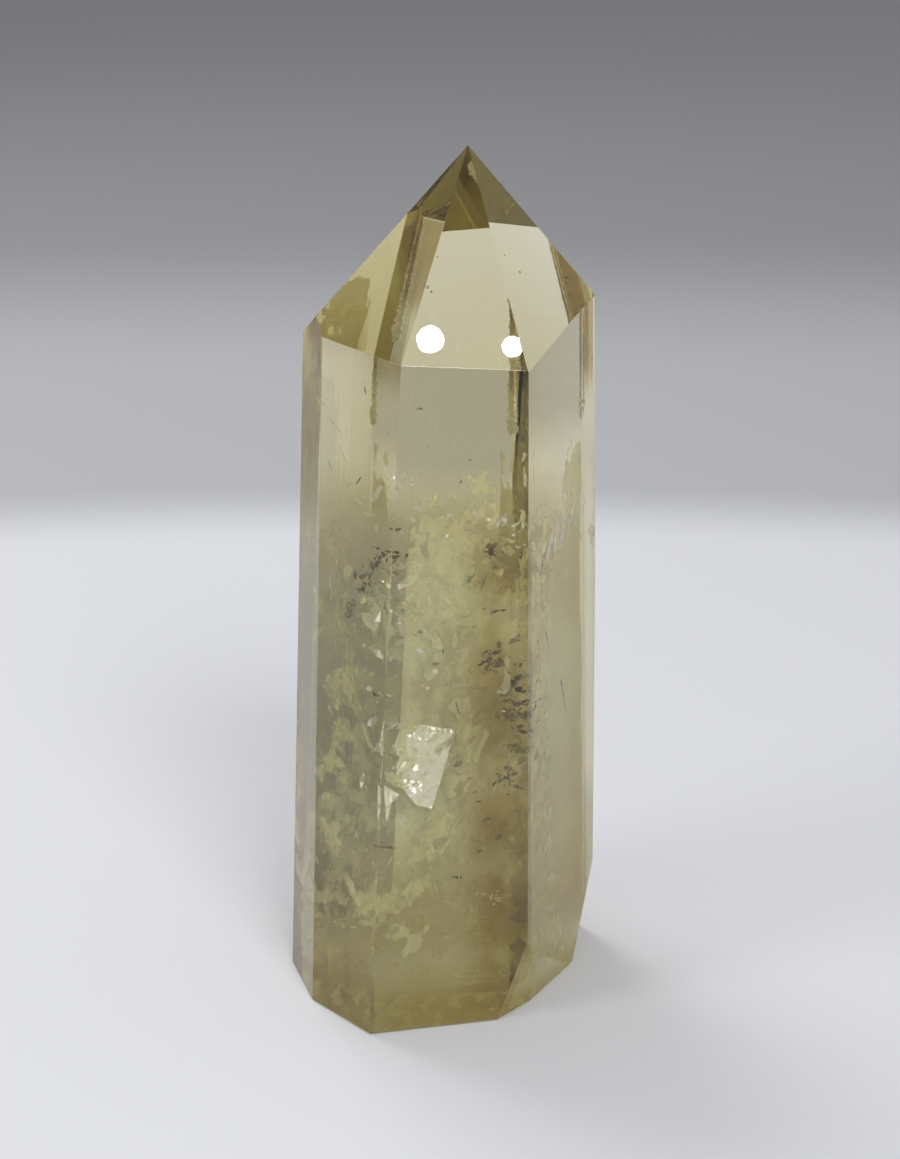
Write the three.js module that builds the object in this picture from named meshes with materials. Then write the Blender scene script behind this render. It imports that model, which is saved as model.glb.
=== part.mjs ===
// Polished citrine point: a free-standing quartz tower, cut and polished as one stone.
// Millimetres, +Z up. The flat base lies on z = 0, centred under the stone's bounding box,
// and the broad front face of the prism looks towards -Y.
//
// The stone is the space inside a set of flat faces. Each face is given by
//   azimuth  the way it looks, seen from above: 0 is -Y (front), 90 is +X (right)
//   lean     how far its outward normal rises above level; a negative lean undercuts
//   reach    how far it lies from the middle of the base, measured along its normal
import * as THREE from 'three';
import { ConvexGeometry } from 'three/addons/geometries/ConvexGeometry.js';

// The sharp tip, where every face of the pyramid meets.
const TIP = new THREE.Vector3(2.8, -2.9, 100);

// Six long faces, leaning in a little so that the stone is stouter at its foot.
const PRISM_FACES = {
  front: { azimuth: 13.7, lean: 1.2, reach: 19.02 },
  right: { azimuth: 67.7, lean: 0.8, reach: 15.7 },
  backRight: { azimuth: 132.0, lean: 1.3, reach: 17.89 },
  back: { azimuth: -163.8, lean: 2.5, reach: 19.49 },
  backLeft: { azimuth: -107.3, lean: 0.9, reach: 16.83 },
  left: { azimuth: -50.7, lean: 3.5, reach: 20.25 },
};

// Narrow facets polished along the two side corners.
const CORNER_BEVELS = {
  leftCorner: { azimuth: -73.5, lean: 2.5, reach: 18.61 },
  rightCorner: { azimuth: 92.9, lean: 0.4, reach: 18.8 },
};

// Six faces of the point. Each passes through the tip, so it needs no reach.
const POINT_FACES = {
  front: { azimuth: 17.0, lean: 31.9 },
  right: { azimuth: 61.6, lean: 27.5 },
  backRight: { azimuth: 131.6, lean: 41.1 },
  back: { azimuth: -161.9, lean: 49.0 },
  backLeft: { azimuth: -98.9, lean: 41.3 },
  left: { azimuth: -48.7, lean: 37.0 },
};

// The small dark facet at the right-hand shoulder.
const SHOULDER_FACET = { azimuth: 64.8, lean: 26.8, reach: 49.21 };

// The right front corner of the foot is worn round by three undercut facets.
const FOOT_CHAMFERS = [
  { azimuth: 50, lean: -12, reach: 16.1 },
  { azimuth: 62, lean: -9, reach: 15.19 },
  { azimuth: 82, lean: -9, reach: 15.89 },
];

// Corners nearer to each other than this are one corner.
const MERGE_MM = 1e-3;

/** Outward unit normal of a face. */
function outward({ azimuth, lean }) {
  const turn = THREE.MathUtils.degToRad(azimuth);
  const rise = THREE.MathUtils.degToRad(lean);
  return new THREE.Vector3(
    Math.sin(turn) * Math.cos(rise),
    -Math.cos(turn) * Math.cos(rise),
    Math.sin(rise),
  );
}

/** The plane of a face that states its reach. */
function facePlane(face) {
  return new THREE.Plane(outward(face), -face.reach);
}

/** The plane of a face of the point, through the tip. */
function tipPlane(face) {
  return new THREE.Plane().setFromNormalAndCoplanarPoint(outward(face), TIP);
}

/** The one point that three planes share, or null where two of them are parallel. */
function meetingPoint(a, b, c) {
  const axis = new THREE.Vector3().crossVectors(b.normal, c.normal);
  const volume = a.normal.dot(axis);
  if (Math.abs(volume) < 1e-9) return null;
  const point = axis.multiplyScalar(-a.constant);
  point.addScaledVector(new THREE.Vector3().crossVectors(c.normal, a.normal), -b.constant);
  point.addScaledVector(new THREE.Vector3().crossVectors(a.normal, b.normal), -c.constant);
  return point.divideScalar(volume);
}

/** Corners of the convex solid inside the planes. */
function corners(planes) {
  const found = [];
  for (let i = 0; i < planes.length; i += 1) {
    for (let j = i + 1; j < planes.length; j += 1) {
      for (let k = j + 1; k < planes.length; k += 1) {
        const point = meetingPoint(planes[i], planes[j], planes[k]);
        const isCorner = point !== null
          && planes.every((plane) => plane.distanceToPoint(point) < MERGE_MM)
          && !found.some((other) => other.distanceTo(point) < MERGE_MM);
        if (isCorner) found.push(point);
      }
    }
  }
  return found;
}

const base = new THREE.Plane(new THREE.Vector3(0, 0, -1), 0);
const planes = [
  base,
  ...Object.values(PRISM_FACES).map(facePlane),
  ...Object.values(CORNER_BEVELS).map(facePlane),
  ...Object.values(POINT_FACES).map(tipPlane),
  facePlane(SHOULDER_FACET),
  ...FOOT_CHAMFERS.map(facePlane),
];

const citrine = new THREE.MeshStandardMaterial({
  name: 'citrine',
  color: 0xd6c48c,
  roughness: 0.05,
  metalness: 0,
});

const crystalPoint = new THREE.Mesh(new ConvexGeometry(corners(planes)), citrine);
crystalPoint.name = 'crystal_point';

const group = new THREE.Group();
group.name = 'citrine_crystal_point';
group.add(crystalPoint);

export default group;
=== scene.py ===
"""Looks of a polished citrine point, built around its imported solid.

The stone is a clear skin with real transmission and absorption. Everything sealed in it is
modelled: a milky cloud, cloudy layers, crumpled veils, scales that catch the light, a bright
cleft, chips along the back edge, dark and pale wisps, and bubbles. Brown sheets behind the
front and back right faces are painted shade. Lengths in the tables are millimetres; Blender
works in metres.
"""

from __future__ import annotations

import logging
import math
import random
from dataclasses import dataclass, field
from enum import Enum

import bpy
from mathutils import Euler, Matrix, Vector

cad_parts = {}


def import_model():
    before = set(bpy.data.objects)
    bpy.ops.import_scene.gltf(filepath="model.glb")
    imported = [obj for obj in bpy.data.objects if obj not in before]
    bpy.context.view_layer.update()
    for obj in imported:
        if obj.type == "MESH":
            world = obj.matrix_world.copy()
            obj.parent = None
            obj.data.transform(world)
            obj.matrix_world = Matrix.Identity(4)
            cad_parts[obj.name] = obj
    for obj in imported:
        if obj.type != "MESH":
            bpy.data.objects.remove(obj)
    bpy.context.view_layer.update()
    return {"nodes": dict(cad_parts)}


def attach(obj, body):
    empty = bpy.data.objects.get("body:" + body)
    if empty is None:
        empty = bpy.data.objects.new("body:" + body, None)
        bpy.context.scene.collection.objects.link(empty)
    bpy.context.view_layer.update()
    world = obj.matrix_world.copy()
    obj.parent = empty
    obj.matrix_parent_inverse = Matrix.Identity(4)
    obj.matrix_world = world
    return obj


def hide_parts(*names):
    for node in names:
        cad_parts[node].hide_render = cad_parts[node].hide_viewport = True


Piece = bpy.types.Object
Socket = bpy.types.NodeSocket
Three = tuple[float, float, float]
Four = tuple[float, float, float, float]

LOG = logging.getLogger("citrine_point")
MM = 0.001
NODE = "crystal_point"
BODY = "root"
LIGHT_PATHS = {
    "max_bounces": 12, "transmission_bounces": 10, "glossy_bounces": 4,
    "transparent_max_bounces": 22, "diffuse_bounces": 2, "volume_bounces": 2,
    "light_sampling_threshold": 0.05, "volume_step_rate": 8.0, "volume_max_steps": 6,
}


# ---------------------------------------------------------------- small tools


def metres(point: Three) -> Vector:
    """Turn a point in millimetres into metres."""
    return Vector(point) * MM


def select_only(*objects: Piece) -> None:
    """Select these objects and nothing else, the first of them active.

    Args:
        objects: The objects to select.
    """
    bpy.ops.object.select_all(action="DESELECT")
    for item in objects:
        item.select_set(True)
    bpy.context.view_layer.objects.active = objects[0]


def name_piece(piece: Piece, name: str) -> Piece:
    """Name an object and its mesh alike, and return it."""
    piece.name = name
    piece.data.name = name
    return piece


def settle(piece: Piece) -> None:
    """Move an object's place, turn and scale into its mesh."""
    select_only(piece)
    bpy.ops.object.transform_apply(location=True, rotation=True, scale=True)


def add_modifier(piece: Piece, kind: str, **settings: object) -> None:
    """Add one modifier with these settings and apply it at once.

    Args:
        piece: The object it works on.
        kind: Blender's name for the kind of modifier.
        settings: The modifier's settings by name.
    """
    select_only(piece)
    modifier = piece.modifiers.new(kind.title(), kind)
    for key, value in settings.items():
        setattr(modifier, key, value)
    bpy.ops.object.modifier_apply(modifier=modifier.name)


def clouds(name: str, scale: float, depth: int) -> bpy.types.Texture:
    """Make a procedural noise that displaces a mesh.

    Args:
        name: What to call it.
        scale: Size of its lumps in metres.
        depth: How many finer octaves it has.

    Returns:
        The texture.
    """
    texture = bpy.data.textures.new(name, "CLOUDS")
    texture.noise_scale = scale
    texture.noise_depth = depth
    return texture


def facing_frame(normal: Vector, roll: float) -> Euler:
    """Turn that lays a flat primitive square to a normal, spun by roll about it."""
    turn = normal.to_track_quat("Z", "Y").to_matrix() @ Matrix.Rotation(roll, 3, "Z")
    return turn.to_euler()


def heading(azimuth: float, rise: float) -> Vector:
    """Unit vector by compass: azimuth 0 looks to -Y, 90 to +X; rise is above level."""
    turn, lift = math.radians(azimuth), math.radians(rise)
    flat = math.cos(lift)
    return Vector((math.sin(turn) * flat, -math.cos(turn) * flat, math.sin(lift)))


@dataclass
class Hull:
    """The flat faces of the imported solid, for keeping the inclusions inside it."""

    planes: list[tuple[Vector, Vector]] = field(default_factory=list)

    @classmethod
    def of(cls, solid: Piece) -> "Hull":
        """Read the distinct face planes of a convex solid.

        Args:
            solid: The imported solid.

        Returns:
            Its hull.
        """
        hull = cls()
        mesh = solid.data
        for polygon in mesh.polygons:
            normal = polygon.normal.copy()
            if not any((normal - other).length < 0.01 for _, other in hull.planes):
                hull.planes.append((polygon.center.copy(), normal))
        return hull

    def depth(self, point: Vector) -> float:
        """How far inside the nearest face a point lies, in metres; negative is outside."""
        return min((place - point).dot(normal) for place, normal in self.planes)

    def behind(self, x: float, z: float, depth: float) -> Vector:
        """The point at this x and height that lies so deep under the front faces, all in mm."""
        level = metres((x, 0, z))
        level.y = max(
            (normal.dot(level - place) + depth * MM) / -normal.y
            for place, normal in self.planes if normal.y < -0.1
        )
        return level

    def trim(self, piece: Piece, margin: float, close: bool = False) -> None:
        """Cut away whatever of a piece is outside the stone or nearer its faces than margin.

        Args:
            piece: The piece to cut.
            margin: Depth under the faces in metres.
            close: True to close a solid where it is cut.
        """
        select_only(piece)
        bpy.ops.object.mode_set(mode="EDIT")
        for place, normal in self.planes:
            bpy.ops.mesh.select_all(action="SELECT")
            bpy.ops.mesh.bisect(
                plane_co=place - normal * margin, plane_no=normal,
                clear_outer=True, use_fill=close,
            )
        bpy.ops.object.mode_set(mode="OBJECT")


# ---------------------------------------------------------------- finishes


class Nodes:
    """A thin layer over a material's node tree."""

    def __init__(self, name: str) -> None:
        """Start an empty material of this name."""
        self.material = bpy.data.materials.new(name)
        self.material.use_nodes = True
        self.tree = self.material.node_tree
        self.tree.nodes.clear()
        self.output = self.tree.nodes.new("ShaderNodeOutputMaterial")

    def add(self, kind: str, **values: object) -> bpy.types.Node:
        """Add a node and set its properties, or its inputs by name with spaces as _.

        Args:
            kind: The node type without its ShaderNode prefix.
            values: Properties or input values.

        Returns:
            The node.
        """
        node = self.tree.nodes.new("ShaderNode" + kind)
        for key, value in values.items():
            socket = next((s for s in node.inputs if s.name == key.replace("_", " ")), None)
            if hasattr(node, key):
                setattr(node, key, value)
            elif isinstance(value, Socket):
                self.tree.links.new(value, socket)
            else:
                socket.default_value = value
        return node

    def link(self, source: Socket, target: Socket) -> None:
        """Join an output to an input."""
        self.tree.links.new(source, target)

    def place(self) -> Socket:
        """Object coordinates, in metres."""
        return self.add("TexCoord").outputs["Object"]

    def noise(self, scale: float, detail: float, rough: float = 0.55, tall: float = 1.0) -> Socket:
        """Noise over the piece's own coordinates.

        Args:
            scale: Lumps per metre.
            detail: Octaves.
            rough: Strength of the finer octaves.
            tall: How many times taller than wide the lumps are.

        Returns:
            Its 0 to 1 value.
        """
        where = self.add("Mapping")
        where.inputs["Scale"].default_value = (1.0, 1.0, 1.0 / tall)
        self.link(self.place(), where.inputs["Vector"])
        node = self.add(
            "TexNoise", Vector=where.outputs["Vector"], Scale=scale, Detail=detail,
            Roughness=rough,
        )
        return node.outputs["Fac"]

    def shards(self, scale: float, ragged: float = 0.0022) -> Socket:
        """Sharp-edged cells, each of its own brightness, their borders roughened.

        Args:
            scale: Cells per metre.
            ragged: How far the borders wander, in metres.

        Returns:
            A 0 to 1 value that is even within a cell.
        """
        wander = self.add("TexNoise", Vector=self.place(), Scale=scale * 1.6, Detail=2.0)
        shift = self.add("VectorMath", operation="MULTIPLY_ADD")
        self.link(wander.outputs["Color"], shift.inputs[0])
        shift.inputs[1].default_value = (ragged, ragged, ragged)
        self.link(self.place(), shift.inputs[2])
        cells = self.add("TexVoronoi", Vector=shift.outputs["Vector"], Scale=scale)
        split = self.add("SeparateColor")
        self.link(cells.outputs["Color"], split.inputs[0])
        return split.outputs[0]

    def blend(self, share: float | Socket, first: Socket, second: Socket) -> Socket:
        """Mix two shaders; share is how much of the second there is."""
        mix = self.add("MixShader")
        if isinstance(share, Socket):
            self.link(share, mix.inputs["Fac"])
        else:
            mix.inputs["Fac"].default_value = share
        self.link(first, mix.inputs[1])
        self.link(second, mix.inputs[2])
        return mix.outputs["Shader"]

    def span(
        self, value: Socket, low: float, high: float,
        to_low: float = 0.0, to_high: float = 1.0,
    ) -> Socket:
        """Stretch low..high to to_low..to_high with smooth, clamped ends."""
        node = self.add("MapRange", interpolation_type="SMOOTHSTEP")
        self.link(value, node.inputs["Value"])
        for name, number in (("From Min", low), ("From Max", high),
                             ("To Min", to_low), ("To Max", to_high)):
            node.inputs[name].default_value = number
        return node.outputs["Result"]

    def maths(self, kind: str, first: Socket, second: Socket | float) -> Socket:
        """One sum, product or the like of two values."""
        node = self.add("Math", operation=kind)
        self.link(first, node.inputs[0])
        if isinstance(second, Socket):
            self.link(second, node.inputs[1])
        else:
            node.inputs[1].default_value = second
        return node.outputs[0]

    def times(self, first: Socket, second: Socket | float) -> Socket:
        """The product of two values."""
        return self.maths("MULTIPLY", first, second)

    def plus(self, first: Socket, second: Socket | float) -> Socket:
        """The sum of two values."""
        return self.maths("ADD", first, second)

    def level_height(
        self, split: bpy.types.Node, height: Socket, edge: float, drop: float
    ) -> Socket:
        """Raise the reading where the cloud lies lower: at the left, and in a dip at the right.

        Args:
            split: The separated Object coordinates.
            height: The height that is read.
            edge: Where the drop at the left is full; it ends 11 mm nearer the middle.
            drop: How much lower the cloud lies there.

        Returns:
            The height to hold against the cloud's level.
        """
        across = split.outputs["X"]
        left = self.span(across, edge, edge + 11 * MM, drop, 0.0)
        dip = self.span(across, 4 * MM, 7 * MM, 0.0, 5 * MM)
        within = self.span(across, 9 * MM, 12 * MM, 1.0, 0.0)
        height = self.plus(height, left)
        return self.plus(height, self.times(dip, within))


@dataclass(frozen=True)
class CitrineFinish:
    """Polished, see-through yellow quartz."""

    ior: float = 1.544
    roughness: float = 0.0
    density: float = 25.0
    tint: Four = (0.71, 0.62, 0.08, 1.0)

    def material(self) -> bpy.types.Material:
        """Build the finish.

        Returns:
            The material of the stone's skin.
        """
        nodes = Nodes("citrine_polished")
        glass = nodes.add("BsdfPrincipled", IOR=self.ior)
        glass.inputs["Base Color"].default_value = (1.0, 1.0, 1.0, 1.0)
        glass.inputs["Transmission Weight"].default_value = 1.0
        glass.inputs["Roughness"].default_value = self.roughness
        fine = nodes.add("Bump", Strength=0.02, Distance=0.0002)
        nodes.link(nodes.noise(140.0, 1.0), fine.inputs["Height"])
        nodes.link(fine.outputs["Normal"], glass.inputs["Normal"])
        nodes.link(glass.outputs["BSDF"], nodes.output.inputs["Surface"])
        soak = nodes.add("VolumeAbsorption", Density=self.density)
        soak.inputs["Color"].default_value = self.tint
        nodes.link(soak.outputs["Volume"], nodes.output.inputs["Volume"])
        return nodes.material


@dataclass(frozen=True)
class MilkFinish:
    """Milky haze: clear at its skin, scattering light within and smoky brown in its depths."""

    density: float = 74.0
    clearer_side: float = 67.7
    level: float = 55.0 * MM
    fade: float = 8.0 * MM
    tint: Four = (0.99, 0.98, 0.8, 1.0)
    smoke: float = 25.0
    smoke_tint: Four = (0.86, 0.8, 0.42, 1.0)

    def material(self) -> bpy.types.Material:
        """Build the finish.

        Returns:
            The material of the cloud.
        """
        nodes = Nodes("milky_haze")
        clear = nodes.add("BsdfTransparent")
        nodes.link(clear.outputs["BSDF"], nodes.output.inputs["Surface"])
        split = nodes.add("SeparateXYZ")
        nodes.link(nodes.place(), split.inputs[0])
        height = nodes.level_height(split, split.outputs["Z"], -17 * MM, 8 * MM)
        below = nodes.span(height, self.level, self.level + self.fade, 1.0, 0.0)
        shell = nodes.span(split.outputs["Y"], -10 * MM, 4 * MM, 1.3, 0.6)
        thick = nodes.times(below, shell)
        toward = nodes.add("VectorMath", operation="DOT_PRODUCT")
        nodes.link(nodes.place(), toward.inputs[0])
        toward.inputs[1].default_value = heading(self.clearer_side, 0)
        right = nodes.span(toward.outputs["Value"], 5 * MM, 13 * MM)
        thin = nodes.span(right, 0.0, 1.0, 1.0, 0.45)
        left = nodes.span(split.outputs["X"], -11 * MM, -3 * MM, 1.5, 1.0)
        thin = nodes.times(thin, left)
        foot = nodes.span(split.outputs["Z"], 4 * MM, 28 * MM, 0.26, 1.0)
        thick = nodes.times(nodes.times(thick, thin), foot)
        haze = nodes.add("VolumeScatter", Anisotropy=0.2)
        haze.inputs["Color"].default_value = self.tint
        nodes.link(nodes.times(thick, self.density), haze.inputs["Density"])
        smoke = nodes.add("VolumeAbsorption")
        smoke.inputs["Color"].default_value = self.smoke_tint
        browner = nodes.span(right, 0.0, 1.0, self.smoke, self.smoke * 3.2)
        browner = nodes.times(below, browner)
        deeper = nodes.span(split.outputs["Y"], -6 * MM, 7 * MM, 0.7, 2.6)
        lower = nodes.span(split.outputs["Z"], 4 * MM, 24 * MM, 2.6, 1.0)
        browner = nodes.times(browner, lower)
        nodes.link(nodes.times(browner, deeper), smoke.inputs["Density"])
        both = nodes.add("AddShader")
        nodes.link(haze.outputs["Volume"], both.inputs[0])
        nodes.link(smoke.outputs["Volume"], both.inputs[1])
        nodes.link(both.outputs["Shader"], nodes.output.inputs["Volume"])
        return nodes.material


class Pattern(Enum):
    """How a film is broken up."""

    SOFT = "soft"
    SHARDS = "shards"
    WHOLE = "whole"


@dataclass(frozen=True)
class FilmFinish:
    """A thin film sealed in the stone: patches of it show, with clear gaps between."""

    name: str
    colour: Three
    cover: float
    grain: float = 300.0
    gaps: float = 0.46
    pattern: Pattern = Pattern.SOFT
    glow: float = 0.45
    shine: float = 0.0
    shine_rough: float = 0.2

    def body(self, nodes: Nodes) -> Socket:
        """Mix what the film gives back, lets through and mirrors.

        Args:
            nodes: The material's nodes.

        Returns:
            The film's own shader.
        """
        colour = (*self.colour, 1.0)
        film = nodes.add("BsdfDiffuse")
        film.inputs["Color"].default_value = colour
        through = nodes.add("BsdfTranslucent")
        through.inputs["Color"].default_value = colour
        solid = nodes.blend(self.glow, film.outputs["BSDF"], through.outputs["BSDF"])
        if self.shine > 0:
            mirror = nodes.add("BsdfAnisotropic", Roughness=self.shine_rough)
            solid = nodes.blend(self.shine, solid, mirror.outputs["BSDF"])
        return solid

    def material(self) -> bpy.types.Material:
        """Build the finish.

        Returns:
            The material of one family of films.
        """
        nodes = Nodes(self.name)
        solid = self.body(nodes)
        if self.pattern is Pattern.WHOLE:
            cover = self.cover
        elif self.pattern is Pattern.SOFT:
            patches = nodes.noise(self.grain, 2.0, 0.66)
            cover = nodes.span(patches, self.gaps, self.gaps + 0.2, 0.0, self.cover)
        else:
            patches = nodes.noise(self.grain * 0.6, 2.0, 0.6)
            shards = nodes.times(nodes.shards(self.grain), patches)
            cover = nodes.span(shards, self.gaps * 0.5, self.gaps, 0.0, self.cover)
        clear = nodes.add("BsdfTransparent")
        mixed = nodes.blend(cover, clear.outputs["BSDF"], solid)
        nodes.link(mixed, nodes.output.inputs["Surface"])
        return nodes.material


@dataclass(frozen=True)
class ShellFinish:
    """Cloudy film: olive lumps with browner hollows, thinner at the foot and ragged above."""

    name: str
    grain: float
    level: float
    cover: float = 0.9
    least: float = 0.55
    bright: Four = (1.0, 1.0, 0.66, 1.0)
    dull: Four = (0.88, 0.83, 0.48, 1.0)
    calm_cover: float = 0.8

    def material(self) -> bpy.types.Material:
        """Build the finish.

        Returns:
            The material of one cloudy layer.
        """
        nodes = Nodes(self.name)
        split = nodes.add("SeparateXYZ")
        nodes.link(nodes.place(), split.inputs[0])
        lumps = nodes.noise(self.grain, 3.0, 0.7, 1.35)
        broad = nodes.noise(self.grain * 0.36, 1.0, 0.5)
        shade = nodes.add("Mix", data_type="RGBA")
        nodes.link(nodes.span(broad, 0.4, 0.6), shade.inputs[0])
        shade.inputs[6].default_value = self.dull
        shade.inputs[7].default_value = self.bright
        film = nodes.add("BsdfDiffuse")
        through = nodes.add("BsdfTranslucent")
        nodes.link(shade.outputs[2], film.inputs["Color"])
        nodes.link(shade.outputs[2], through.inputs["Color"])
        solid = nodes.blend(0.4, film.outputs["BSDF"], through.outputs["BSDF"])
        cover = nodes.span(lumps, 0.38, 0.6, self.least, self.cover)
        at_left = nodes.span(split.outputs["X"], -12 * MM, -7 * MM, 1.0, 0.0)
        at_right = nodes.span(split.outputs["X"], 9 * MM, 11 * MM)
        calm = nodes.maths("MAXIMUM", at_left, at_right)
        evened = nodes.add("Mix", data_type="FLOAT")
        nodes.link(calm, evened.inputs[0])
        nodes.link(cover, evened.inputs[2])
        evened.inputs[3].default_value = self.calm_cover
        foot = nodes.span(split.outputs["Z"], 8 * MM, 27 * MM, 0.2, 1.0)
        ragged = nodes.span(lumps, 0.3, 0.7, 7 * MM, -7 * MM)
        height = nodes.plus(split.outputs["Z"], ragged)
        height = nodes.level_height(split, height, -16 * MM, 7 * MM)
        below = nodes.span(height, self.level, self.level + 3 * MM, 1.0, 0.0)
        share = nodes.times(nodes.times(evened.outputs[0], foot), below)
        clear = nodes.add("BsdfTransparent")
        mixed = nodes.blend(share, clear.outputs["BSDF"], solid)
        nodes.link(mixed, nodes.output.inputs["Surface"])
        return nodes.material


@dataclass(frozen=True)
class PaintedShadeEnds:
    """Where a sheet of painted shade fades in from the left, in from below and out at the top."""

    left: float
    right: float
    foot: float
    foot_full: float
    head: float
    head_clear: float
    foot_share: float = 0.0


@dataclass(frozen=True)
class PaintedShadeFinish:
    """Painted shade: a sheet that gives nothing back and only browns what is behind it."""

    name: str
    tint: Four
    grain: float
    ends: PaintedShadeEnds
    least: float = 0.35

    def material(self) -> bpy.types.Material:
        """Build the finish.

        Returns:
            The material of the painted shade.
        """
        nodes = Nodes(self.name)
        ends = self.ends
        split = nodes.add("SeparateXYZ")
        nodes.link(nodes.place(), split.inputs[0])
        side = nodes.span(split.outputs["X"], ends.left, ends.right)
        foot = nodes.span(split.outputs["Z"], ends.foot, ends.foot_full, ends.foot_share, 1.0)
        head = nodes.span(split.outputs["Z"], ends.head, ends.head_clear, 1.0, 0.0)
        patches = nodes.span(nodes.noise(self.grain, 2.0, 0.65), 0.3, 0.62, self.least, 1.0)
        depth = nodes.times(nodes.times(side, foot), patches)
        depth = nodes.times(depth, head)
        clear = nodes.add("BsdfTransparent")
        # the tinted see-through sheet is painted shade: it darkens whatever is seen through it
        shade_sheet = nodes.add("BsdfTransparent")
        shade_sheet.inputs["Color"].default_value = self.tint
        mixed = nodes.blend(depth, clear.outputs["BSDF"], shade_sheet.outputs["BSDF"])
        nodes.link(mixed, nodes.output.inputs["Surface"])
        return nodes.material


# ---------------------------------------------------------------- the stone


@dataclass
class CrystalSkin:
    """The stone's outside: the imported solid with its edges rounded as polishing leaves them."""

    solid: Piece
    edge_round: float = 0.3 * MM
    right_round: float = 0.5 * MM
    shoulder_round: float = 0.75 * MM

    def build(self) -> Piece:
        """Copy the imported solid, merge it and round its edges.

        Returns:
            The skin.
        """
        select_only(self.solid)
        bpy.ops.object.duplicate()
        skin = bpy.context.view_layer.objects.active
        name_piece(skin, "crystal_skin")
        bpy.ops.object.mode_set(mode="EDIT")
        bpy.ops.mesh.select_all(action="SELECT")
        bpy.ops.mesh.remove_doubles(threshold=0.00001)
        bpy.ops.mesh.dissolve_limited(angle_limit=math.radians(0.5))
        bpy.ops.object.mode_set(mode="OBJECT")
        self.weigh_edges(skin)
        add_modifier(
            skin, "BEVEL", width=self.shoulder_round, segments=6, limit_method="WEIGHT",
            harden_normals=False, miter_outer="MITER_SHARP",
        )
        select_only(skin)
        bpy.ops.object.shade_smooth_by_angle(angle=math.radians(1.0))
        skin.data.materials.clear()
        skin.data.materials.append(CitrineFinish().material())
        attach(skin, BODY)
        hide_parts(NODE)
        LOG.info("crystal_skin: %d faces", len(skin.data.polygons))
        return skin

    def weigh_edges(self, skin: Piece) -> None:
        """Say how round each edge is: the front shoulder is worn rounder than the rest.

        Args:
            skin: The merged solid.
        """
        mesh = skin.data
        weights = mesh.attributes.new("bevel_weight_edge", "FLOAT", "EDGE")
        for edge in mesh.edges:
            ends = [mesh.vertices[index].co for index in edge.vertices]
            level = all(70 * MM < end.z < 84 * MM for end in ends)
            in_front = all(end.y < -13 * MM for end in ends)
            wide = (ends[0] - ends[1]).xy.length > 5 * MM
            at_right = all(end.x > 15 * MM for end in ends)
            if level and in_front and wide:
                width = self.shoulder_round
            elif at_right:
                width = self.right_round
            else:
                width = self.edge_round
            weights.data[edge.index].value = width / self.shoulder_round


@dataclass
class Sealed:
    """Something sealed in the stone, kept under its faces and carried with it."""

    hull: Hull

    def seal(self, pieces: list[Piece], name: str, material: bpy.types.Material) -> Piece:
        """Join loose pieces into one, give it its finish and tie it to the stone.

        Args:
            pieces: What to join.
            name: Name of the joined piece.
            material: Its finish.

        Returns:
            The joined piece.
        """
        select_only(*pieces)
        if len(pieces) > 1:
            bpy.ops.object.join()
        joined = name_piece(bpy.context.active_object, name)
        joined.data.materials.clear()
        joined.data.materials.append(material)
        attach(joined, BODY)
        LOG.info("%s: %d faces", name, len(joined.data.polygons))
        return joined


def laid_grid(
    centre: Vector, turn: Euler, cuts: tuple[int, int], size: tuple[float, float]
) -> Piece:
    """Lay a flat sheet, divided into squares.

    Args:
        centre: Its middle.
        turn: Its turn from level.
        cuts: How many squares it has along and across.
        size: Its length and width in metres.

    Returns:
        The sheet, its place in its mesh.
    """
    bpy.ops.object.select_all(action="DESELECT")
    bpy.ops.mesh.primitive_grid_add(
        x_subdivisions=cuts[0], y_subdivisions=cuts[1], size=1.0, location=centre,
        rotation=turn,
    )
    sheet = bpy.context.active_object
    sheet.scale = (*size, 1.0)
    settle(sheet)
    return sheet


def inner_block(hull: Hull, top: float, margin: float) -> Piece:
    """Cut a block down to the inside of the stone, up to a height.

    Args:
        hull: The stone's faces.
        top: Height of the block in metres.
        margin: How deep under the faces it stays, in metres.

    Returns:
        The closed block.
    """
    bpy.ops.object.select_all(action="DESELECT")
    bpy.ops.mesh.primitive_cube_add(size=1.0, location=(0, 0, top / 2))
    block = bpy.context.active_object
    block.scale = (60 * MM, 60 * MM, top)
    settle(block)
    hull.trim(block, margin, close=True)
    return block


@dataclass
class MilkyCloud(Sealed):
    """The haze that fills the stone below a ragged level."""

    top: float = 72 * MM
    margin: float = 2.4 * MM

    def build(self) -> Piece:
        """Cut a block down to the inside of the stone.

        Returns:
            The cloud.
        """
        cloud = inner_block(self.hull, self.top, self.margin)
        return self.seal([cloud], "milky_cloud", MilkFinish().material())


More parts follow.
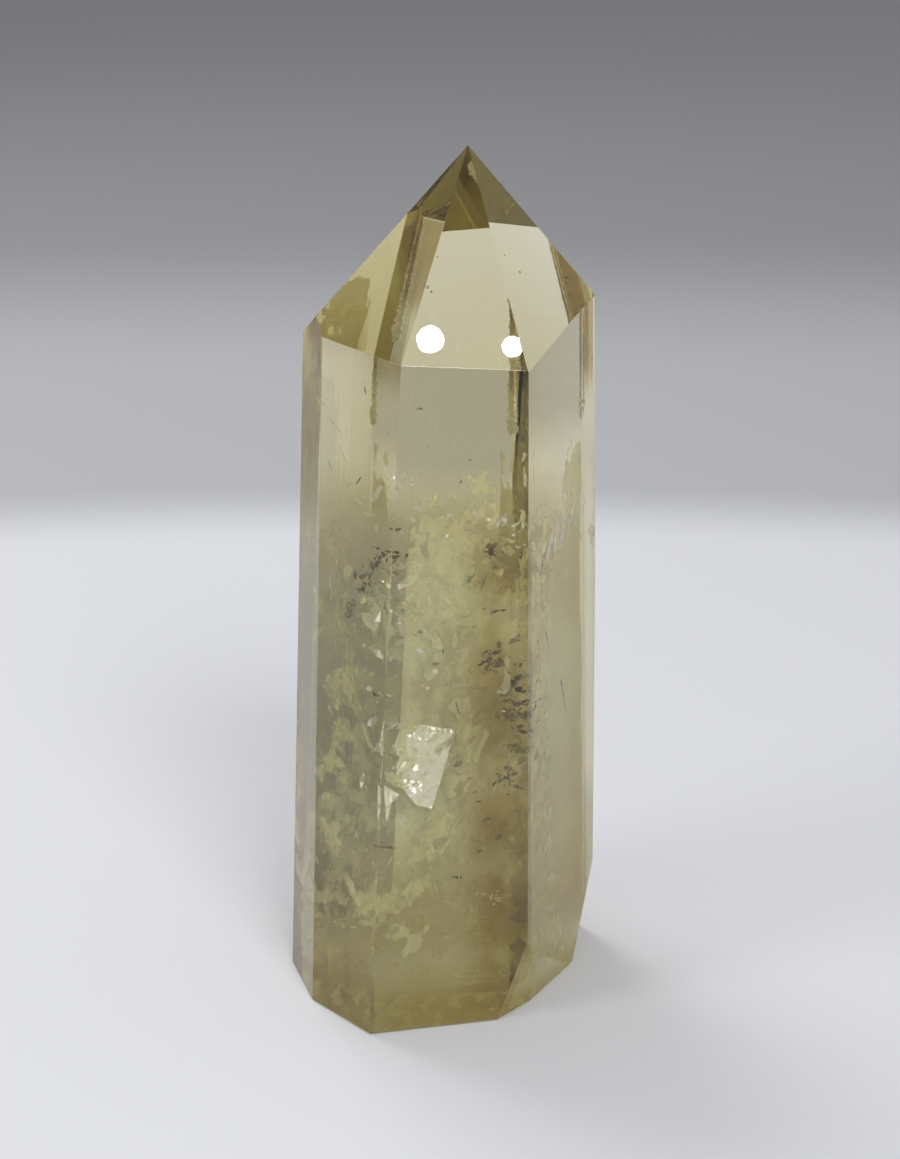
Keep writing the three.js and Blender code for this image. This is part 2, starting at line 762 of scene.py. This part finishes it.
@dataclass
class CloudShells(Sealed):
    """Cloudy layers that follow the faces, each at its own depth."""

    layers: tuple[Three, ...] = ((3.7, 190.0, 59.0),)
    top: float = 70 * MM
    cell: float = 1.1 * MM

    def build(self) -> list[Piece]:
        """Cut each layer to its depth, open its top and bottom, divide and fold it.

        Returns:
            The layers.
        """
        made = []
        for index, (depth, grain, level) in enumerate(self.layers):
            shell = inner_block(self.hull, self.top, depth * MM)
            select_only(shell)
            bpy.ops.object.mode_set(mode="EDIT")
            bpy.ops.mesh.select_all(action="DESELECT")
            bpy.ops.object.mode_set(mode="OBJECT")
            for polygon in shell.data.polygons:
                polygon.select = abs(polygon.normal.z) > 0.9
            bpy.ops.object.mode_set(mode="EDIT")
            bpy.ops.mesh.delete(type="FACE")
            for step in range(1, int(self.top / self.cell)):
                bpy.ops.mesh.select_all(action="SELECT")
                bpy.ops.mesh.bisect(plane_co=(0, 0, step * self.cell), plane_no=(0, 0, 1))
            for step in range(-18, 19):
                bpy.ops.mesh.select_all(action="SELECT")
                bpy.ops.mesh.bisect(
                    plane_co=(step * self.cell, 0, 0), plane_no=(1, 0.2, 0),
                )
            bpy.ops.object.mode_set(mode="OBJECT")
            crumple(shell, f"shell_{index}", 0.5 * MM)
            finish = ShellFinish(f"cloud_layer_{index + 1}", grain, level * MM)
            made.append(self.seal([shell], f"cloud_layer_{index + 1}", finish.material()))
        return made


@dataclass
class BackShade(Sealed):
    """Brown sheet of painted shade just under the back right face, beside the chipped edge."""

    azimuth: float = 132.0
    reach: float = 15.5 * MM
    size: tuple[float, float] = (17 * MM, 26 * MM)

    def build(self) -> Piece:
        """Lay the painted shade against the face.

        Returns:
            The painted shade.
        """
        along = heading(self.azimuth, 0)
        beside = heading(self.azimuth + 90, 0)
        centre = along * self.reach + beside * 6 * MM + Vector((0, 0, 76 * MM))
        turn = facing_frame(heading(self.azimuth, 1.3), 0.0)
        shade_sheet = laid_grid(centre, turn, (20, 30), self.size)
        self.hull.trim(shade_sheet, 0.35 * MM)
        # the brown tint paints the shade of the strip seen beside the chipped edge
        finish = PaintedShadeFinish(
            "back_painted_shade", (0.6, 0.51, 0.28, 1.0), 220.0,
            PaintedShadeEnds(-40 * MM, -30 * MM, 67 * MM, 73 * MM, 200 * MM, 210 * MM), 0.75,
        )
        return self.seal([shade_sheet], "back_painted_shade", finish.material())


@dataclass
class VeilSet(Sealed):
    """Crumpled sheets of film that cross the milky part of the stone."""

    name: str
    count: int
    low: float
    high: float
    crumple: float
    finish: FilmFinish
    seed: int
    size: float = 36 * MM
    spread: float = 8.0

    def build(self) -> Piece:
        """Lay the sheets, crumple and trim each, and join them.

        Returns:
            One piece that holds all the sheets.
        """
        rng = random.Random(self.seed)
        sheets = []
        for index in range(self.count):
            share = (index + rng.random()) / self.count
            centre = Vector((
                rng.uniform(-self.spread - 3, self.spread - 3) * MM,
                rng.uniform(-15, -3) * MM,
                self.low + (self.high - self.low) * share,
            ))
            normal = heading(rng.uniform(-70, 70), rng.uniform(-35, 60))
            turn = facing_frame(normal, rng.uniform(0, math.tau))
            sheet = laid_grid(centre, turn, (64, 64), (self.size, self.size))
            crumple(sheet, f"{self.name}_{index}", self.crumple)
            self.hull.trim(sheet, 1.0 * MM)
            self.clear_above(sheet, rng)
            if sheet.data.polygons:
                sheets.append(sheet)
            else:
                bpy.data.objects.remove(sheet)
        return self.seal(sheets, self.name, self.finish.material())

    def clear_above(self, sheet: Piece, rng: random.Random) -> None:
        """Cut a sheet off at the ragged level where the clear tip begins."""
        select_only(sheet)
        bpy.ops.object.mode_set(mode="EDIT")
        for side in (-1, 1):
            bpy.ops.mesh.select_all(action="SELECT")
            bpy.ops.mesh.bisect(
                plane_co=metres((0, -18, 61 + rng.uniform(-3, 1))),
                plane_no=(side * rng.uniform(0.0, 0.3) - 0.1, 0.18, 1.0), clear_outer=True,
            )
        bpy.ops.object.mode_set(mode="OBJECT")


@dataclass
class FrontShadeSheets(Sealed):
    """Brown sheets of painted shade behind the front face, strongest beside its right edge."""

    depths: tuple[float, ...] = (1.3, 2.6)
    azimuth: float = 13.7
    reach: float = 18.6
    size: tuple[float, float] = (16 * MM, 60 * MM)

    def build(self) -> Piece:
        """Lay sheets behind the front face and fold them.

        Returns:
            The painted shade.
        """
        sheets = []
        for index, depth in enumerate(self.depths):
            centre = heading(self.azimuth, 0) * (self.reach - depth) * MM + metres((4, 0, 31))
            turn = facing_frame(heading(self.azimuth, 1.2), 0.0)
            sheet = laid_grid(centre, turn, (40, 80), self.size)
            crumple(sheet, f"smoke_{index}", 0.2 * MM)
            self.hull.trim(sheet, 0.45 * MM)
            sheets.append(sheet)
        # the brown tint paints the shade of the dark band seen beside the front face's right edge
        finish = PaintedShadeFinish(
            "brown_painted_shade", (0.7, 0.61, 0.4, 1.0), 160.0,
            PaintedShadeEnds(1 * MM, 6 * MM, 3 * MM, 14 * MM, 52 * MM, 62 * MM, 0.6),
        )
        return self.seal(sheets, "brown_painted_shade", finish.material())


def crumple(sheet: Piece, name: str, height: float) -> None:
    """Fold a sheet broadly and crease it finely.

    Args:
        sheet: The sheet.
        name: Name for its two patterns.
        height: Height of the fine creases; the broad folds are three times it.
    """
    add_modifier(
        sheet, "DISPLACE", texture=clouds(name + "_fold", 9 * MM, 2),
        texture_coords="GLOBAL", direction="NORMAL", strength=height * 3,
    )
    add_modifier(
        sheet, "DISPLACE", texture=clouds(name + "_crease", 2.4 * MM, 3),
        texture_coords="GLOBAL", direction="NORMAL", strength=height,
    )


def film_sheet(corners: list[Three], cuts: int) -> Piece:
    """Make one flat film with these corners, divided finely enough to be crumpled.

    Args:
        corners: Corner points in order, in millimetres.
        cuts: How many times each edge is divided.

    Returns:
        The film, its place in its mesh.
    """
    bpy.ops.object.select_all(action="DESELECT")
    bpy.ops.mesh.primitive_circle_add(vertices=len(corners), radius=MM, fill_type="NGON")
    film = bpy.context.active_object
    for vertex, corner in zip(film.data.vertices, corners):
        vertex.co = metres(corner)
    select_only(film)
    bpy.ops.object.mode_set(mode="EDIT")
    bpy.ops.mesh.select_all(action="SELECT")
    bpy.ops.mesh.quads_convert_to_tris()
    if cuts:
        bpy.ops.mesh.subdivide(number_cuts=cuts)
    bpy.ops.object.mode_set(mode="OBJECT")
    return film


@dataclass
class FractureFaces(Sealed):
    """The bright cleft in the lower front, where a crack turns the light back."""

    def build(self) -> Piece:
        """Shape the main face of the cleft and the small one beside it.

        Returns:
            The cleft.
        """
        main = film_sheet([
            (1.2, -16.0, 36.0), (0.4, -16.8, 32.9), (-1.4, -17.7, 26.8), (-3.2, -17.9, 27.4),
            (-4.8, -17.9, 29.4), (-5.8, -17.3, 29.8), (-5.4, -16.8, 33.0),
            (-5.8, -16.5, 34.3), (-4.9, -16.1, 37.2), (-1.9, -16.0, 36.5),
        ], 18)
        side = film_sheet([
            (-6.9, -18.7, 30.2), (-5.1, -18.4, 28.9), (-6.0, -18.7, 27.9), (-6.6, -18.8, 25.4),
        ], 12)
        for index, face in enumerate((main, side)):
            crumple(face, f"cleft_{index}", 0.75 * MM)
        finish = FilmFinish(
            "cleft", (1.0, 0.98, 0.66), 0.97, 330.0, 0.2, Pattern.SOFT, 0.1, 0.35, 0.22,
        )
        return self.seal([main, side], "bright_cleft", finish.material())


def scale_of_film() -> Piece:
    """Shape one tiny five-sided scale, a millimetre across, with its corners lifted."""
    return film_sheet([
        (0.5, 0.0, 0.0), (0.1, 0.32, 0.06), (-0.42, 0.25, 0.0), (-0.5, -0.15, 0.05),
        (0.05, -0.36, 0.0),
    ], 0)


def copy_film(film: Piece, place: Matrix) -> Piece:
    """Lay one more copy of a film at this place, with its own mesh."""
    copy = bpy.data.objects.new(film.name, film.data.copy())
    copy.data.transform(place)
    bpy.context.scene.collection.objects.link(copy)
    return copy


@dataclass
class Flakes(Sealed):
    """Clusters of tiny broken scales that catch the light."""

    name: str
    count: int
    centres: tuple[Three, ...]
    shallow: float
    deep: float
    least: float
    most: float
    slim: float
    finish: FilmFinish
    seed: int

    def build(self) -> Piece:
        """Shape one scale, then scatter copies of it about the centres.

        Returns:
            All the scales as one piece.
        """
        rng = random.Random(self.seed)
        scale = scale_of_film()
        copies = []
        tries = 0
        while len(copies) < self.count and tries < self.count * 20:
            tries += 1
            x, z, reach = self.centres[tries % len(self.centres)]
            place = self.hull.behind(
                rng.gauss(x, reach), rng.gauss(z, reach), rng.uniform(self.shallow, self.deep)
            )
            size = self.least * (self.most / self.least) ** (rng.random() ** 1.6)
            facing = heading(rng.uniform(-75, 80), rng.uniform(-60, 75))
            turn = facing_frame(facing, rng.uniform(0, math.tau)).to_matrix().to_4x4()
            stretch = Matrix.Diagonal((size, size * rng.uniform(self.slim, 1.0), size, 1.0))
            if self.hull.depth(place) > (size / 2 + 0.3) * MM:
                copies.append(copy_film(scale, Matrix.Translation(place) @ turn @ stretch))
        bpy.data.objects.remove(scale)
        return self.seal(copies, self.name, self.finish.material())


@dataclass
class EdgeChips(Sealed):
    """The chipped back edge under the point: scalloped scales just beneath it."""

    top: Three = (5.22, 18.2, 81.0)
    foot: Three = (5.12, 18.95, 64.5)
    outward: float = 164.0
    count: int = 70
    inset: float = 0.6 * MM

    def build(self) -> Piece:
        """Lay scales down the edge, broader towards the foot of the damage.

        Returns:
            The chips.
        """
        rng = random.Random(7)
        scale = scale_of_film()
        copies = []
        for index in range(self.count):
            share = index / (self.count - 1)
            out = heading(self.outward + rng.uniform(-24, 24), rng.uniform(-25, 25))
            place = metres(self.top).lerp(metres(self.foot), share)
            place += heading(self.outward, 0) * -self.inset
            place.x += rng.uniform(-0.22, 0.22) * share * MM
            size = 0.4 + 0.8 * share * rng.uniform(0.7, 1.1)
            turn = facing_frame(out, rng.uniform(0, math.tau)).to_matrix().to_4x4()
            copies.append(copy_film(
                scale, Matrix.Translation(place) @ turn @ Matrix.Diagonal((size, size, size, 1)),
            ))
        bpy.data.objects.remove(scale)
        finish = FilmFinish(
            "chipped_edge", (1.0, 0.985, 0.9), 1.0, pattern=Pattern.WHOLE, glow=0.7,
            shine=0.15, shine_rough=0.3,
        )
        return self.seal(copies, "edge_chips", finish.material())


@dataclass
class Wisps(Sealed):
    """Ragged scraps of film, each set one by one and lightly crumpled."""

    name: str
    scraps: tuple[tuple[float, float, float, float, float], ...]
    depth: float
    finish: FilmFinish
    seed: int
    fold: float = 0.2 * MM

    def build(self) -> Piece:
        """Shape each scrap: x, z, length and width in mm, and its slant in degrees.

        Returns:
            All the scraps as one piece.
        """
        rng = random.Random(self.seed)
        films = []
        for index, (x, z, length, width, slant) in enumerate(self.scraps):
            middle = self.hull.behind(x, z, self.depth) / MM
            lean = math.radians(slant)
            along = Vector((math.cos(lean), 0.0, math.sin(lean)))
            across = Vector((-math.sin(lean), 0.0, math.cos(lean)))
            outline = []
            for step in range(11):
                turn = step / 11 * math.tau
                point = (
                    along * math.cos(turn) * length / 2 + across * math.sin(turn) * width / 2
                ) * rng.uniform(0.4, 1.2)
                outline.append(tuple(middle + point + Vector((0, rng.uniform(-0.2, 0.2), 0))))
            film = film_sheet(outline, 6)
            crumple(film, f"{self.name}_{index}", self.fold)
            films.append(film)
        return self.seal(films, self.name, self.finish.material())


@dataclass
class Bubbles(Sealed):
    """Tiny round bubbles just under the faces of the point."""

    places: tuple[Four, ...] = (
        (-1.7, -12.5, 85.9, 0.42), (-1.3, -12.7, 85.4, 0.3), (8.2, -6.2, 86.2, 0.4),
        (-0.6, -10.9, 89.0, 0.22), (6.4, -6.9, 88.2, 0.2),
    )

    def build(self) -> Piece:
        """Set each ball: its middle and its diameter, in mm.

        Returns:
            All the bubbles as one piece.
        """
        balls = []
        for x, y, z, across in self.places:
            bpy.ops.object.select_all(action="DESELECT")
            bpy.ops.mesh.primitive_uv_sphere_add(
                segments=12, ring_count=8, radius=across / 2 * MM, location=metres((x, y, z)),
            )
            ball = bpy.context.active_object
            settle(ball)
            balls.append(ball)
        finish = FilmFinish("bubble", (0.5, 0.44, 0.26), 0.5, pattern=Pattern.WHOLE, shine=0.3)
        return self.seal(balls, "bubbles", finish.material())


# ---------------------------------------------------------------- the studio


@dataclass
class Studio:
    """Pale floor with a painted pool of light, soft grey room light, and the camera."""

    light_pool_rings: tuple[Four, ...] = (
        (0.172, 0.214, 0.73, 0.47), (0.3, 0.5, 0.47, 0.3),
    )
    lens: float = 80.2
    target: Three = (0.8, -5.0, 50.0)
    camera_rise: float = 18.0
    camera_away: float = 0.3
    fades: tuple[tuple[float, float], ...] = ((0.0095, 26.0),)

    def floor(self) -> None:
        """Lay the floor: a painted pool of light, pale around the stone and fading to grey further
        out.
        """
        bpy.ops.object.select_all(action="DESELECT")
        bpy.ops.mesh.primitive_grid_add(
            x_subdivisions=4, y_subdivisions=4, size=12.0, location=(0, 0, -0.2 * MM)
        )
        floor = name_piece(bpy.context.active_object, "floor")
        nodes = Nodes("floor_light_pool")
        oval = nodes.add("Mapping")
        oval.inputs["Scale"].default_value = (0.6, 1.0, 1.0)
        nodes.link(nodes.place(), oval.inputs["Vector"])
        away = nodes.add("VectorMath", operation="LENGTH")
        nodes.link(oval.outputs["Vector"], away.inputs[0])
        colour = None
        # the rings paint a pool of light on the floor, pale near the stone and grey further out
        for start, end, near, far in self.light_pool_rings:
            fade = nodes.span(away.outputs["Value"], start, end)
            mix = nodes.add("Mix", data_type="RGBA")
            nodes.link(fade, mix.inputs[0])
            mix.inputs[6].default_value = (near, near * 1.01, near * 1.05, 1.0)
            mix.inputs[7].default_value = (far, far * 1.01, far * 1.04, 1.0)
            if colour is not None:
                nodes.link(colour, mix.inputs[6])
            colour = mix.outputs[2]
        paint = nodes.add("BsdfPrincipled", Roughness=0.6)
        nodes.link(colour, paint.inputs["Base Color"])
        nodes.link(paint.outputs["BSDF"], nodes.output.inputs["Surface"])
        floor.data.materials.append(nodes.material)

    def lamp(
        self, name: str, aim: Vector, azimuth: float, rise: float, away: float,
        size: float, radiance: float, only_gloss: bool = False,
    ) -> None:
        """Hang one soft round lamp.

        Args:
            name: What to call it.
            aim: The point it looks at.
            azimuth: Its compass direction from there.
            rise: Its height above level in degrees.
            away: Its distance in metres.
            size: Its diameter in metres.
            radiance: How bright its face is.
            only_gloss: True if it is only seen in polished faces.
        """
        data = bpy.data.lights.new(name, "AREA")
        data.shape = "DISK"
        data.size = size
        data.energy = radiance * math.pi * math.pi * size * size / 4
        lamp = bpy.data.objects.new(name, data)
        out = heading(azimuth, rise)
        lamp.location = aim + out * away
        lamp.rotation_euler = out.to_track_quat("Z", "Y").to_euler()
        bpy.context.scene.collection.objects.link(lamp)
        if only_gloss:
            lamp.visible_diffuse = False
            lamp.visible_transmission = False
            lamp.visible_volume_scatter = False

    def soft_lamp(self, name: str, aim: Vector, azimuth: float, rise: float, spread: float) -> None:
        """Hang one gloss-only disc for each size and brightness listed in fades.

        Args:
            name: What to call it.
            aim: The point it looks at.
            azimuth: Its compass direction from there.
            rise: Its height above level in degrees.
            spread: How wide it is, beside the usual one.
        """
        for index, (size, radiance) in enumerate(self.fades):
            self.lamp(
                f"{name}_{index}", aim, azimuth, rise, 0.6 + 0.003 * index, size * spread,
                radiance, True,
            )

    def lights(self) -> None:
        """Set the room's light and hang the lamps."""
        world = bpy.data.worlds.new("room")
        world.use_nodes = True
        back = world.node_tree.nodes["Background"]
        back.inputs["Color"].default_value = (0.42, 0.42, 0.435, 1.0)
        back.inputs["Strength"].default_value = 1.0
        bpy.context.scene.world = world
        middle = Vector((0, 0, 0.05))
        self.lamp("front_key", middle, 18, 42, 0.9, 0.35, 11.0)
        self.lamp("left_fill", middle, -62, 26, 0.9, 0.4, 4.5)
        self.lamp("back_key", middle, -145, 52, 0.8, 0.45, 4.5)
        self.soft_lamp("window_one", metres((-1.4, -16.4, 81.2)), 41.5, 47.9, 1.0)
        self.soft_lamp("window_two", metres((8.0, -15.0, 79.4)), 43.9, 47.1, 0.8)
        self.lamp("window_low", metres((2, -17, 78)), 32, 22, 0.6, 0.26, 11.0, True)

    def camera(self) -> None:
        """Stand the camera in front, a little above, looking down on the stone."""
        data = bpy.data.cameras.new("camera")
        data.lens = self.lens
        data.sensor_width = 36.0
        data.clip_start = 0.01
        camera = bpy.data.objects.new("camera", data)
        back = heading(0, self.camera_rise)
        camera.location = metres(self.target) + back * self.camera_away
        camera.rotation_euler = back.to_track_quat("Z", "Y").to_euler()
        bpy.context.scene.collection.objects.link(camera)
        bpy.context.scene.camera = camera

    def build(self) -> None:
        """Set up the whole studio."""
        self.floor()
        self.lights()
        self.camera()
        scene = bpy.context.scene
        scene.view_settings.view_transform = "Standard"
        for name, value in LIGHT_PATHS.items():
            setattr(scene.cycles, name, value)


def main() -> None:
    """Build the stone, what is sealed in it and the studio, and report each piece."""
    logging.basicConfig(level=logging.INFO, format="%(name)s: %(message)s")
    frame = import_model()
    solid = frame["nodes"][NODE]
    hull = Hull.of(solid)
    LOG.info("hull of %d faces", len(hull.planes))
    CrystalSkin(solid).build()
    MilkyCloud(hull).build()
    CloudShells(hull).build()
    EdgeChips(hull).build()
    FrontShadeSheets(hull).build()
    BackShade(hull).build()
    VeilSet(hull, "pale_veils", 7, 16 * MM, 58 * MM, 0.8 * MM, FilmFinish(
        "pale_veil", (0.98, 0.96, 0.55), 0.6, 480.0, 0.42, Pattern.SHARDS,
    ), 21).build()
    FractureFaces(hull).build()
    Flakes(hull, "sparkles", 240, (
        (-4.2, 52.4, 1.4), (-3.8, 51.0, 1.0), (-2.6, 53.2, 1.4), (-8.8, 61.8, 0.1),
        (-3.8, 61.2, 0.3), (0.4, 58.9, 0.1), (8.3, 58.8, 0.5), (8.8, 57.0, 0.6),
        (-4.6, 25.4, 0.2), (2.8, 14.4, 1.0), (5.7, 15.3, 0.5), (-6.5, 11.6, 0.1),
        (4.2, 53.8, 1.2), (-1.0, 47.0, 2.4), (0.6, 33.0, 4.5), (-4.0, 44.0, 4.0),
        (9.6, 51.0, 0.5), (12.5, 52.5, 1.2), (2.0, 22.0, 3.5), (-11.0, 58.0, 2.5),
    ), 0.8, 2.4, 0.2, 0.55, 0.7, FilmFinish(
        "sparkle", (1.0, 1.0, 0.96), 1.0, pattern=Pattern.WHOLE, glow=0.25, shine=0.3,
    ), 2).build()
    Flakes(hull, "glints", 9, (
        (-2.7, 45.9, 0.15), (-4.0, 38.2, 0.2), (6.4, 60.2, 0.3),
    ), 0.9, 1.4, 0.6, 1.1, 0.6, FilmFinish(
        "glint", (1.0, 1.0, 0.97), 1.0, pattern=Pattern.WHOLE, glow=0.15, shine=0.3,
    ), 9).build()
    Flakes(hull, "pale_scales", 620, (
        (-3, 44, 3.6), (0, 37, 3.4), (-8, 50, 3.0), (3, 54, 3.0), (-1, 25, 4.0),
        (-4, 33, 3.6), (4, 18, 3.0), (-3, 54, 3.2), (-2, 48, 3.0), (2, 46, 2.6),
    ), 1.4, 6.5, 0.5, 3.2, 0.3, FilmFinish(
        "pale_scale", (1.0, 0.98, 0.6), 0.58, pattern=Pattern.WHOLE, shine=0.25,
    ), 5).build()
    Flakes(hull, "brown_scales", 130, (
        (6, 46, 2.6), (6.5, 36, 2.6), (5, 28, 3.0), (5, 52, 2.4), (7, 22, 2.4), (3, 40, 3.0),
    ), 1.6, 6.0, 0.4, 2.6, 0.25, FilmFinish(
        "brown_scale", (0.2, 0.16, 0.06), 0.5, pattern=Pattern.WHOLE,
    ), 6).build()
    Flakes(hull, "dark_flecks", 150, (
        (-5.8, 57.0, 0.5), (-6.6, 55.8, 0.6), (-7.6, 53.8, 0.7), (-8.2, 52.2, 0.5),
        (8.3, 41.4, 0.7), (8.6, 39.6, 0.8), (8.8, 37.6, 0.7), (8.9, 35.2, 0.6),
        (5.6, 44.6, 0.7), (7.0, 29.4, 0.8), (5.3, 56.6, 0.4), (8.0, 43.0, 0.8),
    ), 1.1, 2.4, 0.3, 1.3, 0.22, FilmFinish(
        "dark_fleck", (0.15, 0.09, 0.015), 0.72, pattern=Pattern.WHOLE,
    ), 31).build()
    Wisps(hull, "dark_wisps", (
        (-5.6, 57.3, 1.6, 0.7, 15), (-6.5, 56.0, 2.6, 0.5, 58), (-8.2, 52.4, 1.4, 0.6, 60),
        (-5.1, 60.1, 0.8, 0.5, 10), (5.1, 57.6, 1.1, 1.2, 80), (5.3, 56.0, 3.0, 0.34, 94),
        (6.1, 49.9, 2.8, 0.4, 8), (5.0, 49.6, 1.4, 0.3, 15), (4.4, 43.9, 1.8, 0.4, 30),
        (5.8, 44.9, 1.7, 0.5, 20), (5.7, 42.8, 2.0, 0.3, -8), (8.2, 41.6, 2.4, 0.7, 15),
        (8.6, 40.2, 2.0, 0.8, -10), (8.7, 38.6, 1.6, 0.8, 20), (7.3, 41.0, 2.0, 0.4, 20),
        (7.6, 39.0, 2.0, 0.5, -25), (8.9, 37.0, 1.2, 1.8, 70), (9.0, 35.0, 0.8, 2.6, 85),
        (7.0, 42.6, 1.6, 0.4, -30), (6.0, 29.4, 1.6, 0.6, 35), (7.1, 29.6, 2.0, 0.9, -15),
        (8.3, 28.6, 2.4, 0.5, -22), (3.9, 27.2, 1.0, 0.25, 5), (1.3, 18.1, 0.9, 0.6, 0),
        (1.9, 18.0, 0.4, 0.4, 0), (-7.0, 40.6, 0.35, 1.1, 80), (-0.1, 45.5, 0.3, 1.2, 5),
        (10.3, 53.6, 0.5, 0.9, 10), (-8.0, 75.0, 1.8, 0.36, 104), (-2.6, 73.6, 0.8, 0.18, 5),
        (2.9, 67.5, 0.6, 0.2, 10), (1.8, 65.0, 0.6, 0.18, 60), (-8.8, 64.2, 1.8, 0.4, 52),
    ), 1.5, FilmFinish("dark_wisp", (0.13, 0.08, 0.015), 0.9, 2000.0, 0.36), 3).build()
    Wisps(hull, "faint_wisps", (
        (-7.4, 54.4, 3.6, 1.5, 58), (-9.8, 49.0, 2.8, 2.2, 35), (-5.2, 55.6, 2.0, 1.0, 70),
        (6.2, 43.6, 3.4, 1.2, 15), (7.0, 40.6, 3.4, 2.4, 10), (7.4, 37.6, 3.2, 2.8, 60),
        (7.6, 30.6, 2.6, 1.2, -20), (-3.0, 48.0, 1.6, 0.8, 30), (8.4, 33.0, 1.6, 4.0, 85),
        (11.0, 43.8, 5.0, 0.35, -64), (13.0, 36.0, 6.0, 0.3, -66), (8.0, 46.4, 1.8, 1.0, 30),
    ), 1.6, FilmFinish("faint_wisp", (0.16, 0.12, 0.04), 0.6, 1500.0, 0.38), 23).build()
    Wisps(hull, "rusty_dash", ((-6.9, 22.8, 2.4, 0.5, -12), (-6.0, 22.6, 1.0, 0.3, -20)),
          1.4, FilmFinish("rusty_dash", (0.26, 0.14, 0.04), 0.9, 900.0, 0.3), 13).build()
    Wisps(hull, "pale_wisps", (
        (-0.6, 71.4, 1.8, 0.2, 65), (-1.8, 69.0, 1.2, 0.2, 110), (-4.2, 66.4, 2.6, 0.6, 78),
        (-3.4, 65.4, 2.0, 0.5, 60), (-5.2, 64.4, 2.6, 0.8, 100), (-6.6, 63.0, 3.0, 0.9, 50),
        (-2.6, 62.6, 2.4, 0.7, 35), (0.4, 61.2, 1.8, 0.5, 20), (3.6, 61.2, 1.6, 0.5, 130),
        (6.6, 60.4, 1.6, 0.8, 85), (7.8, 59.6, 1.6, 0.5, 35), (7.2, 58.0, 2.2, 0.6, 160),
        (8.6, 67.0, 1.4, 0.4, 70), (8.8, 64.6, 2.6, 0.4, 92), (8.6, 53.0, 1.4, 0.3, 80),
        (8.4, 50.6, 1.6, 0.4, 20), (-9.4, 63.4, 2.6, 0.4, 18), (-11.0, 61.0, 3.4, 0.4, 12),
        (-12.6, 56.2, 4.0, 0.3, 6), (-11.4, 58.6, 2.8, 0.3, 24), (-14.0, 53.4, 2.6, 0.3, -8),
        (-10.4, 66.5, 2.8, 0.2, 128), (-11.2, 69.4, 3.6, 0.2, 140), (-12.6, 71.4, 3.0, 0.2, 150),
        (-12.0, 65.0, 2.8, 0.2, 118), (8.2, 20.6, 2.4, 0.14, 12), (-1.0, 21.6, 2.8, 0.14, 6),
    ), 2.0, FilmFinish(
        "pale_wisp", (0.98, 0.96, 0.72), 0.8, 1100.0, 0.26, shine=0.25,
    ), 8).build()
    Wisps(hull, "white_streaks", tuple(
        (11.2 + 0.3 * step, 54.2 + 0.16 * step + (step % 3) * 0.9, 1.9 + (step % 4) * 0.6,
         0.66, 66 + (step % 5) * 5)
        for step in range(16)
    ), 1.0, FilmFinish(
        "white_streak", (1.0, 1.0, 0.95), 1.0, pattern=Pattern.WHOLE, glow=0.25, shine=0.35,
    ), 4, 0.03 * MM).build()
    Bubbles(hull).build()
    Studio().build()
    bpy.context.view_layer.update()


if __name__ == "__main__":
    main()
